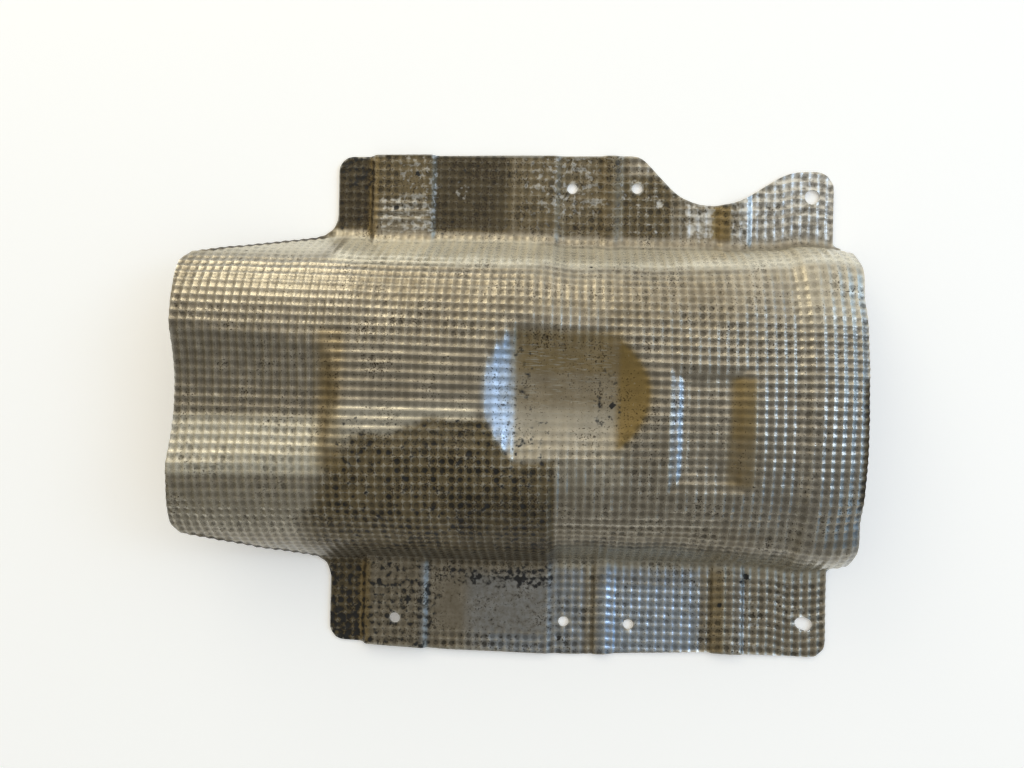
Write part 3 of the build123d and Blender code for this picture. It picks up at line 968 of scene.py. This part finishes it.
class ShieldSheetSettings(bpy.types.PropertyGroup):
    """Sizes of the embossed sheet."""

    thickness: bpy.props.FloatProperty(
        name="Sheet",
        description="Thickness of the sheet",
        default=SHEET * MM,
        unit="LENGTH",
        precision=4,
    )
    emboss_pitch: bpy.props.FloatProperty(
        name="Emboss pitch",
        description="Distance between two bosses",
        default=EMBOSS_PITCH * MM,
        unit="LENGTH",
        precision=4,
    )
    emboss_height: bpy.props.FloatProperty(
        name="Emboss height",
        description="Height from pit to boss",
        default=EMBOSS_HEIGHT * MM,
        unit="LENGTH",
        precision=4,
    )


class ShieldStageSettings(bpy.types.PropertyGroup):
    """Light and floor of the stage."""

    key_power: bpy.props.FloatProperty(
        name="Key lamp", description="Power of the soft lamp behind the shield", default=3.8, unit="POWER"
    )
    cool_power: bpy.props.FloatProperty(
        name="Cool lamp", description="Power of the cool lamp at the lipped end", default=2.0, unit="POWER"
    )
    sky_strength: bpy.props.FloatProperty(
        name="Room", description="Strength of the light from the room", default=3.2, min=0.0
    )
    floor_colour: bpy.props.FloatVectorProperty(
        name="Floor", description="Colour of the pale floor", subtype="COLOR", default=hex_colour("FBFAF7")
    )


# Noises as (size in millimetres, detail). The grain of rolled sheet is finer, and is drawn as coarse as it
# needs to show; scratches are drawn out along X
GRAIN = (1.1, 2.0)
STAIN = (16.0, 3.0)
GRIME = (3.6, 5.0)
SCRATCH = (0.9, 3.0)
DRAWN_OUT = 0.12

# Pits and bosses of the embossing as distances from the pit's middle in pitches, most paling of a boss top
# from wear and painted highlight, raggedness of their edges and spread of the pits' sizes
PIT_EDGE = 0.38
PIT_MIDDLE = 0.18
BOSS_EDGE = 0.46
BOSS_TOP = 0.60
BOSS_WEAR_AND_HIGHLIGHT = 0.36
RAGGED = 0.45
PIT_SPREAD = -0.10

# Soot in a pit: sure share, share left to luck on clean and on soiled sheet, and the stain noise at which it
# thins out to its least share
SOOT_SURE = 0.4
SOOT_CLEAN = 0.15
SOOT_SOILED = 0.75
SOOT_STAIN = (0.35, 0.6)
SOOT_LEAST = 0.5

# Dirt as (value at which it starts, value at which it is full, its fullest share), and what noises add to it
FILM_RANGE = (0.55, 1.4, 1.0)
THICK_RANGE = (1.0, 2.0, 1.0)
MOTTLE_RANGE = (0.42, 0.6, 0.35)
SPECK_RANGE = (0.83, 0.92, 0.85)
FILM_GRIME = 0.9
SPECK_STAIN = 0.4
SPECK_SOIL = 0.06

# Marks with ragged edges as (reach of the noise, cover at which they are full), and the cover at which they
# start
TAR_EDGE = (1.6, 0.6)
SCUFF_EDGE = (2.2, 0.85)
SCRATCH_EDGE = (2.2, 0.8)
MARK_START = 0.4

# Bare sheet: its darkest and palest colour, and the range of the stain noise between them
SHEET_DARK = "888174"
SHEET_PALE = "A8A193"
TONE_RANGE = (0.3, 0.7, 1.0)

# Surface: film's share in the coat that hides the metal, the painted pale light's share, dulling by ironed
# sheet and by all of these, roughness over the grain noise, and depths in millimetres of the ridges between
# pits and of the grain
COAT_FILM = 0.6
COAT_PAINTED_LIGHT = 0.45
DULL_IRONED = 0.6
DULLING = 0.25
GRAIN_RANGE = (0.3, 0.7)
ROUGHNESS = (0.2, 0.32)
RIDGE_DEPTH = 1.44
GRAIN_DEPTH = 0.2
GRAIN_STRENGTH = 0.15

# Numbers of a colour mix's sockets
MIX_A = 6
MIX_B = 7
MIX_RESULT = 2


def embossed_aluminium():
    """Embossed aluminium sheet, satin from rolling and dulled by heat: a soft broad shine, grey-beige, with
    soot in the pits, a brown layer of road grime that also carries painted shade, tar, pale scuffs, and
    painted light: pale highlights on lit slopes and on the boss tops, and gold and blue reflections painted
    on walls that face along X."""
    material = bpy.data.materials.new("embossed_aluminium")
    material.use_nodes = True
    nodes = material.node_tree.nodes
    add = partial(add_node, nodes)
    place = add("TexCoord").outputs["Object"]
    drawn = add("Mapping", [("Vector", place)], Scale=(DRAWN_OUT, 1, 1))
    grain, stain, grime, streak = [
        add("TexNoise", [("Vector", where)], Scale=1 / (size * MM), Detail=detail)
        for (size, detail), where in ((GRAIN, place), (STAIN, place), (GRIME, place), (SCRATCH, drawn))
    ]
    lattice, dirt_and_shade, tint, relief, wear = [
        add("Attribute", attribute_name=name).outputs["Vector"]
        for name in ("lattice", "dirt_and_shade", "tint", "relief", "wear")
    ]
    soil_and_shade, tar, scuff = add("SeparateXYZ", [("Vector", dirt_and_shade)]).outputs
    gold, pale, cool = add("SeparateXYZ", [("Vector", tint)]).outputs
    scratch, pits, rim = add("SeparateXYZ", [("Vector", wear)]).outputs

    # Pits and bosses: distance from the pit's middle, ragged, and shifted by luck from cell to cell
    cell = add("VectorMath", [(0, lattice)], operation="FLOOR")
    within = add("VectorMath", [(0, lattice)], operation="FRACTION")
    offset = add("VectorMath", [(0, within)], operation="SUBTRACT", _1=(0.5, 0.5, 0))
    luck = add("TexWhiteNoise", [("Vector", cell)])
    away = add("VectorMath", [(0, offset)], operation="LENGTH").outputs["Value"]
    away = add("Math", [(0, grime), (2, away)], operation="MULTIPLY_ADD", _1=RAGGED)
    away = add("Math", [(0, luck), (2, away)], operation="MULTIPLY_ADD", _1=PIT_SPREAD)
    pit, boss = [
        add(
            "MapRange",
            [("Value", away)],
            interpolation_type="SMOOTHSTEP",
            From_Min=first + (RAGGED + PIT_SPREAD) / 2,
            From_Max=last + (RAGGED + PIT_SPREAD) / 2,
            To_Max=most,
        )
        for first, last, most in ((PIT_EDGE, PIT_MIDDLE, 1.0), (BOSS_EDGE, BOSS_TOP, BOSS_WEAR_AND_HIGHLIGHT))
    ]
    # Boss tops paled, partly as worn metal and partly as a painted highlight
    worn_and_highlight = add("Math", [(0, boss), (1, pits)], operation="MULTIPLY")

    # Soot: its share in a cell, less where stains are thin and where pits are ironed out
    spread = add("MapRange", [("Value", soil_and_shade)], To_Min=SOOT_CLEAN, To_Max=SOOT_SOILED)
    fill = add("Math", [(0, luck), (1, spread)], operation="MULTIPLY_ADD", use_clamp=True, _2=SOOT_SURE)
    low, high = SOOT_STAIN
    varied = add("MapRange", [("Value", stain)], From_Min=low, From_Max=high, To_Min=SOOT_LEAST)
    varied = add("Math", [(0, varied), (1, pits)], operation="MULTIPLY")
    fill = add("Math", [(0, fill), (1, varied)], operation="MULTIPLY")
    soot = add("Math", [(0, fill), (1, pit)], operation="MULTIPLY")

    # Dirt, painted shade and marks: noise plus cover, cut to a range; the soil cover brings its painted shade
    # into the brown layer and the thick layer; tar gathers in sooty pits
    film_and_shade = add("Math", [(0, grime), (2, soil_and_shade)], operation="MULTIPLY_ADD", _1=FILM_GRIME)
    speck = add("Math", [(0, stain), (2, grain)], operation="MULTIPLY_ADD", _1=SPECK_STAIN)
    speck = add("Math", [(0, soil_and_shade), (2, speck)], operation="MULTIPLY_ADD", _1=SPECK_SOIL)
    film_and_shade, thick, mottle, speck, tone = [
        add("MapRange", [("Value", value)], From_Min=start, From_Max=full, To_Max=most)
        for value, (start, full, most) in (
            (film_and_shade, FILM_RANGE),
            (soil_and_shade, THICK_RANGE),
            (grime, MOTTLE_RANGE),
            (speck, SPECK_RANGE),
            (stain, TONE_RANGE),
        )
    ]
    mottle = add("Math", [(0, mottle), (1, film_and_shade)], operation="MULTIPLY")
    tar = add("Math", [(0, tar), (1, soot), (2, tar)], operation="MULTIPLY_ADD")
    edged = []
    for mask, noise, (reach, full) in (
        (tar, grime, TAR_EDGE),
        (scuff, grime, SCUFF_EDGE),
        (scratch, streak, SCRATCH_EDGE),
    ):
        mark = add("Math", [(0, noise), (2, mask)], operation="MULTIPLY_ADD", _1=reach)
        middle = reach / 2
        edged.append(add("MapRange", [("Value", mark)], From_Min=middle + MARK_START, From_Max=middle + full))
    tar, scuff, scratch = edged

    # Colour: layers over the bare sheet, each by its cover. Pale is a painted highlight, cool and gold are
    # painted reflections with some painted shade in the gold, the paling of the boss tops is partly a painted
    # highlight, and the brown and thick layers carry painted shade where the soil cover does
    dark, light = [(*hex_colour(paint), 1) for paint in (SHEET_DARK, SHEET_PALE)]
    colour = add("Mix", [(0, tone)], data_type="RGBA", _6=dark, _7=light).outputs[MIX_RESULT]
    for cover, paint in (
        (pale, "E0D9C4"),
        (cool, "A6B6C8"),
        (film_and_shade, "706245"),
        (mottle, "3E3423"),
        (worn_and_highlight, "CFC9B8"),
        (gold, "8A7440"),
        (thick, "1A150D"),
        (speck, "2C2011"),
        (scratch, "A5A194"),
        (rim, "BDB9AE"),
        (soot, "1C1810"),
        (scuff, "CBC9C2"),
        (tar, "0F0D0A"),
    ):
        layer = add("Mix", [(0, cover), (MIX_A, colour)], data_type="RGBA", _7=(*hex_colour(paint), 1))
        colour = layer.outputs[MIX_RESULT]

    # Surface: coats hide the metal and dull it, the painted pale light takes away metal too, ridges and grain
    # bend its shine
    coat = add("Math", [(0, film_and_shade)], operation="MULTIPLY", _1=COAT_FILM)
    coat = add("Math", [(0, coat), (1, tar)], operation="MAXIMUM")
    # The painted pale light takes away metal as well as the coats
    coat_and_light = add("Math", [(0, pale), (2, coat)], operation="MULTIPLY_ADD", _1=COAT_PAINTED_LIGHT)
    metal = add("Math", [(1, coat_and_light)], operation="SUBTRACT", _0=1.0, use_clamp=True)
    smooth = add("Math", [(1, pits)], operation="SUBTRACT", _0=1.0)
    smooth = add("Math", [(0, smooth), (2, coat)], operation="MULTIPLY_ADD", _1=DULL_IRONED)
    low, high = GRAIN_RANGE
    least, most = ROUGHNESS
    shine = add("MapRange", [("Value", grain)], From_Min=low, From_Max=high, To_Min=least, To_Max=most)
    dull = add("Math", [(0, smooth), (2, shine)], operation="MULTIPLY_ADD", _1=DULLING)
    square = add("VectorMath", [(0, offset), (1, offset)], operation="MULTIPLY")
    ridge = add("VectorMath", [(0, square), (1, relief)], operation="DOT_PRODUCT").outputs["Value"]
    ridge = add("Math", [(0, ridge), (1, grime)], operation="MULTIPLY")
    bump = add("Bump", [("Height", ridge)], Distance=RIDGE_DEPTH * MM)
    fine = [("Height", grain), ("Normal", bump)]
    bump = add("Bump", fine, Strength=GRAIN_STRENGTH, Distance=GRAIN_DEPTH * MM)
    finish = [("Base Color", colour), ("Metallic", metal), ("Roughness", dull), ("Normal", bump)]
    link(nodes["Principled BSDF"], finish)
    return material


class HEATSHIELD_OT_sheet(bpy.types.Operator):
    """Makes the pressed and embossed sheet"""

    bl_idname = "heatshield.sheet"
    bl_label = "Embossed sheet"

    def execute(self, context):
        settings = context.scene.heatshield_sheet
        pitch = settings.emboss_pitch / MM
        x, v, state = trimmed_lattice(pitch)
        y, level = section(x, v)
        z = pressed(x, y, level)
        base = np.stack([x, y, z], -1)
        base = base + unit_normals(base) * lip_flare(x, v)[..., None]
        normal = unit_normals(base)
        phases = (x / pitch + wavering(x, v, DRIFT), v / pitch + wavering(v, x, DRIFT))
        ironed = ironing(x, v, level - z)
        deep = 1 - soft_areas(x, v, SHALLOW)
        height = embossing(x, v, z, phases, ironed, deep, settings.emboss_height / MM)
        upper = base + normal * height[..., None]
        lower = upper - normal * settings.thickness / MM
        places = np.concatenate([upper.reshape(-1, 3), lower.reshape(-1, 3)])

        top_faces = lattice_faces(state, joining=False)
        under_faces = lattice_faces(state, joining=True)
        rim = rim_edges(top_faces)
        below = state.size
        strip = np.stack([rim[:, 1], rim[:, 0], rim[:, 0] + below, rim[:, 1] + below], 1)
        faces = top_faces + [group[:, ::-1] + below for group in under_faces] + [strip]
        corners = bake_corners(x, v, top_faces, under_faces, rim)

        marks = surface_marks(x, v, y, level - z, normal, state == 0, ironed, deep)
        lattice = np.stack([*phases, np.zeros_like(x)], -1)
        marks["lattice"] = (lattice, lattice)
        attributes = {label: np.concatenate(pair) for label, pair in marks.items()}
        mesh = mesh_from_arrays("embossed_sheet", places, faces, attributes, corners)
        mesh.materials.append(embossed_aluminium())
        sheet = bpy.data.objects.new("embossed_sheet", mesh)
        context.scene.collection.objects.link(sheet)
        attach(sheet, "root")
        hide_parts("heat_shield")
        return {"FINISHED"}


# Camera of the photograph: place in millimetres, lean towards +X and roll, lens and sensor in millimetres,
# and the nearest distance that it shows in metres
CAMERA_PLACE = (41.83, 13.24, 518.33)
CAMERA_TILT = radians(4.5)
CAMERA_ROLL = radians(1.2)
CAMERA_LENS = 27.04
CAMERA_SENSOR = 36.0
CAMERA_NEAR = 0.01

# Floor: half its side in metres, roughness, and plain white added to it as it is seen; the rest of its light
# keeps the shadow
FLOOR_HALF = 6.0
FLOOR_ROUGHNESS = 0.9
WHITE_LIFT = 0.20

# Lamps as (place and side in metres, colour)
KEY_LAMP = ((-0.5, 1.2, 0.56), 0.7, "FFF6DC")
COOL_LAMP = ((1.05, 0.27, 0.8), 0.4, "CFE2FF")

# Tints of the room by direction: from -X to +X, from -Y to +Y, and from the ground to the zenith
SKY_ALONG = (
    (0.0, "7E7A70"),
    (0.10, "8A867C"),
    (0.27, "9C9A96"),
    (0.5, "A9A8A6"),
    (0.72, "B7B6B3"),
    (0.90, "A4C2E8"),
)
SKY_ACROSS = ((0.0, "949492"), (0.265, "9A9A97"), (0.5, "BDBCB8"), (0.735, "F5F1E8"), (0.9, "FFFBF0"))
SKY_ABOVE = ((0.90, "FFFFFF"), (0.985, "D8D8D8"))


def white_paper(colour):
    """Matt white paper, rough from pressed pulp, so that it has no shine: its colour, and a share of plain
    white wherever the camera, a reflection or a see-through surface shows it."""
    material = bpy.data.materials.new("white_paper")
    material.use_nodes = True
    nodes = material.node_tree.nodes
    shader = nodes["Principled BSDF"]
    shader.inputs["Base Color"].default_value = (*colour, 1)
    shader.inputs["Roughness"].default_value = FLOOR_ROUGHNESS
    shader.inputs["Emission Color"].default_value = (1, 1, 1, 1)
    rays = add_node(nodes, "LightPath").outputs
    seen = rays["Is Camera Ray"]
    for ray in ("Is Glossy Ray", "Is Transmission Ray"):
        seen = add_node(nodes, "Math", [(0, seen), (1, rays[ray])], operation="MAXIMUM")
    lift = add_node(nodes, "Math", [(0, seen)], operation="MULTIPLY", _1=WHITE_LIFT)
    link(shader, [("Emission Strength", lift)])
    return material


def studio_world(strength):
    """Room around the shield: a tint along each axis by direction, multiplied with each other."""
    world = bpy.data.worlds.new("studio")
    world.use_nodes = True
    nodes = world.node_tree.nodes
    add = partial(add_node, nodes)
    direction = add("TexCoord").outputs["Generated"]
    sides = add("SeparateXYZ", [("Vector", direction)]).outputs
    tints = []
    for side, stops in zip(sides, (SKY_ALONG, SKY_ACROSS, SKY_ABOVE)):
        share = add("MapRange", [("Value", side)], From_Min=-1.0, From_Max=1.0)
        tint = add("ValToRGB", [("Fac", share)])
        ramp = tint.color_ramp
        ramp.interpolation = "EASE"
        while len(ramp.elements) < len(stops):
            ramp.elements.new(0.5)
        for element, (position, paint) in zip(ramp.elements, stops):
            element.position = position
            element.color = (*hex_colour(paint), 1)
        tints.append(tint)
    sky = tints[0]
    for tint in tints[1:]:
        both = [(MIX_A, sky), (MIX_B, tint)]
        sky = add("Mix", both, data_type="RGBA", blend_type="MULTIPLY", _0=1.0).outputs[MIX_RESULT]
    background = nodes["Background"]
    background.inputs["Strength"].default_value = strength
    link(background, [("Color", sky)])
    return world


def photo_camera():
    """Camera above the shield: looks down along an axis that leans by its tilt, and turns by its roll."""
    back = Vector((sin(CAMERA_TILT), 0, cos(CAMERA_TILT)))
    level = Vector((cos(CAMERA_TILT), 0, -sin(CAMERA_TILT)))
    north = Vector((0, 1, 0))
    right = level * cos(CAMERA_ROLL) + north * sin(CAMERA_ROLL)
    up = north * cos(CAMERA_ROLL) - level * sin(CAMERA_ROLL)
    lens = bpy.data.cameras.new("camera")
    lens.lens = CAMERA_LENS
    lens.sensor_width = CAMERA_SENSOR
    lens.clip_start = CAMERA_NEAR
    camera = bpy.data.objects.new("camera", lens)
    turn = Matrix((right, up, back)).transposed().to_4x4()
    camera.matrix_world = Matrix.Translation(Vector(CAMERA_PLACE) * MM) @ turn
    return camera


class HEATSHIELD_OT_stage(bpy.types.Operator):
    """Makes the floor, the lamps, the world and the camera"""

    bl_idname = "heatshield.stage"
    bl_label = "Stage"

    def execute(self, context):
        scene = context.scene
        settings = scene.heatshield_stage
        scene.view_settings.view_transform = "Standard"
        mesh = bpy.data.meshes.new("floor")
        corners = [(FLOOR_HALF * i, FLOOR_HALF * j, 0) for i, j in ((-1, -1), (1, -1), (1, 1), (-1, 1))]
        mesh.from_pydata(corners, [], [(0, 1, 2, 3)])
        mesh.materials.append(white_paper(settings.floor_colour))
        floor = bpy.data.objects.new("floor", mesh)
        scene.collection.objects.link(floor)
        scene.world = studio_world(settings.sky_strength)

        for name, power, (place, side, paint) in (
            ("key_lamp", settings.key_power, KEY_LAMP),
            ("cool_lamp", settings.cool_power, COOL_LAMP),
        ):
            lamp = bpy.data.lights.new(name, "AREA")
            lamp.size = side
            lamp.energy = power
            lamp.color = hex_colour(paint)
            holder = bpy.data.objects.new(name, lamp)
            holder.location = place
            holder.rotation_euler = (-Vector(place)).to_track_quat("-Z", "Y").to_euler()
            scene.collection.objects.link(holder)

        camera = photo_camera()
        scene.collection.objects.link(camera)
        scene.camera = camera
        return {"FINISHED"}


class HEATSHIELD_PT_panel(bpy.types.Panel):
    """Lists the pieces and their settings"""

    bl_label = "Heat shield"
    bl_idname = "HEATSHIELD_PT_panel"
    bl_space_type = "VIEW_3D"
    bl_region_type = "UI"
    bl_category = "Heat shield"

    def draw(self, context):
        for settings, operator in (
            (context.scene.heatshield_sheet, HEATSHIELD_OT_sheet),
            (context.scene.heatshield_stage, HEATSHIELD_OT_stage),
        ):
            box = self.layout.box()
            for name in settings.__annotations__:
                box.prop(settings, name)
            box.operator(operator.bl_idname)


CLASSES = (
    ShieldSheetSettings,
    ShieldStageSettings,
    HEATSHIELD_OT_sheet,
    HEATSHIELD_OT_stage,
    HEATSHIELD_PT_panel,
)


def register():
    """Registers the classes and hangs their settings on the scene."""
    for item in CLASSES:
        bpy.utils.register_class(item)
    bpy.types.Scene.heatshield_sheet = bpy.props.PointerProperty(type=ShieldSheetSettings)
    bpy.types.Scene.heatshield_stage = bpy.props.PointerProperty(type=ShieldStageSettings)


def unregister():
    """Takes back what register did."""
    del bpy.types.Scene.heatshield_stage
    del bpy.types.Scene.heatshield_sheet
    for item in reversed(CLASSES):
        bpy.utils.unregister_class(item)


def main():
    """Makes the sheet and the stage."""
    register()
    bpy.ops.heatshield.sheet()
    bpy.ops.heatshield.stage()
    bpy.context.view_layer.update()


if __name__ == "__main__":
    main()
